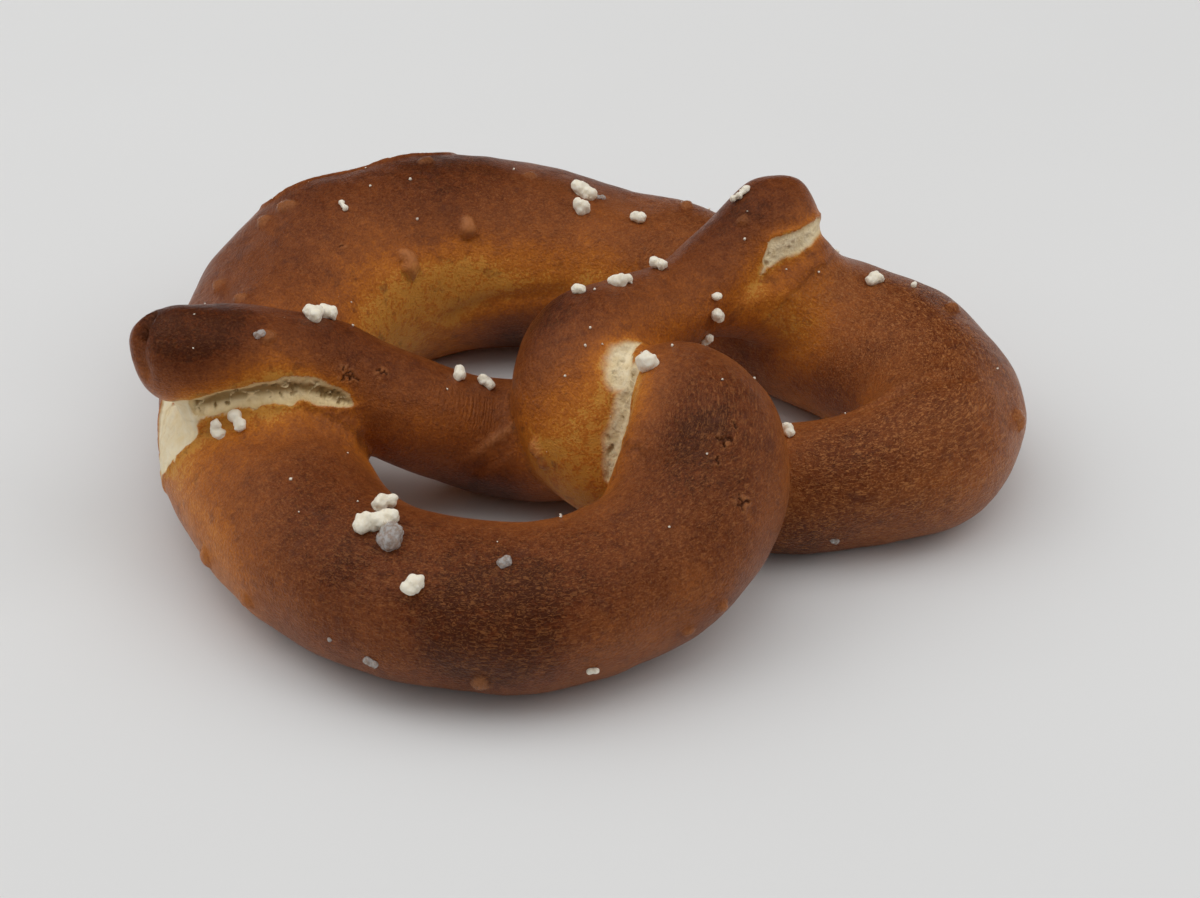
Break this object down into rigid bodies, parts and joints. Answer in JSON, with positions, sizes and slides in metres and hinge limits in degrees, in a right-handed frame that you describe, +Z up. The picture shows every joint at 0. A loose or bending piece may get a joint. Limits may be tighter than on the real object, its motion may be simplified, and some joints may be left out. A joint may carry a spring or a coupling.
{
  "type": "soft pretzel",
  "caption": "Baked soft pretzel: one rope of dough looped and twisted into a knot, with a flat underside and crust split open at the crossings.",
  "frame": {"origin": "centre of the bounding box on the underside, the plane that the pretzel rests on", "axes": "+Z up from the resting surface; +X across both arms towards the right arm's end; +Y towards the thick belly, so -Y is the side of the twist and the two front loops"},
  "size_m": [0.1448, 0.136, 0.044],
  "materials": {
    "crust": "satin browned crust, darker on top, golden inside the loops",
    "salt": "matt white salt"
  },
  "bodies": {
    "root": {"pretzel": "crust"}
  },
  "joints": []
}
